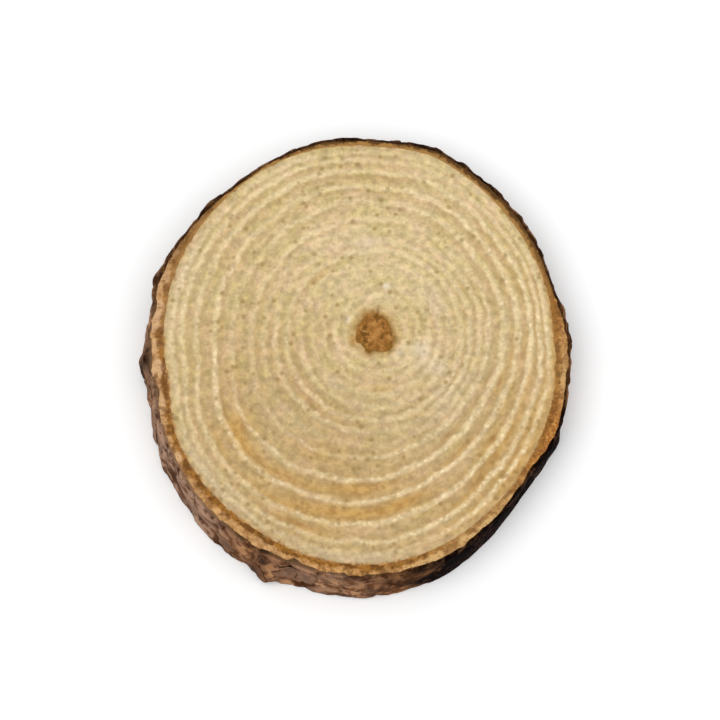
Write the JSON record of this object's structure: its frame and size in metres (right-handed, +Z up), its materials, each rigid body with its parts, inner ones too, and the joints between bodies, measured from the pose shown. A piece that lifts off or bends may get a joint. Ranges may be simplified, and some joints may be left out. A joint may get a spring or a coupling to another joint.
{
  "type": "wood slice",
  "caption": "Round slice sawn across a small tree trunk, with growth rings, an off-centre pith and rough bark left on the edge.",
  "frame": {"origin": "middle of the slice's bounding box, on the surface it rests on", "axes": "+Z up, square to the sawn faces; +Y along the slice's longest way across, with the wider growth rings towards -Y"},
  "size_m": [0.1017, 0.1124, 0.01],
  "materials": {
    "wood": "sanded pale sapwood with tan growth rings, dry and matt",
    "pith": "soft brown pith, matt",
    "inner_bark": "fibrous amber-brown inner bark, matt",
    "bark": "dark flaky outer bark, rough and matt"
  },
  "bodies": {
    "root": {"wood_slice": "wood"}
  },
  "joints": []
}
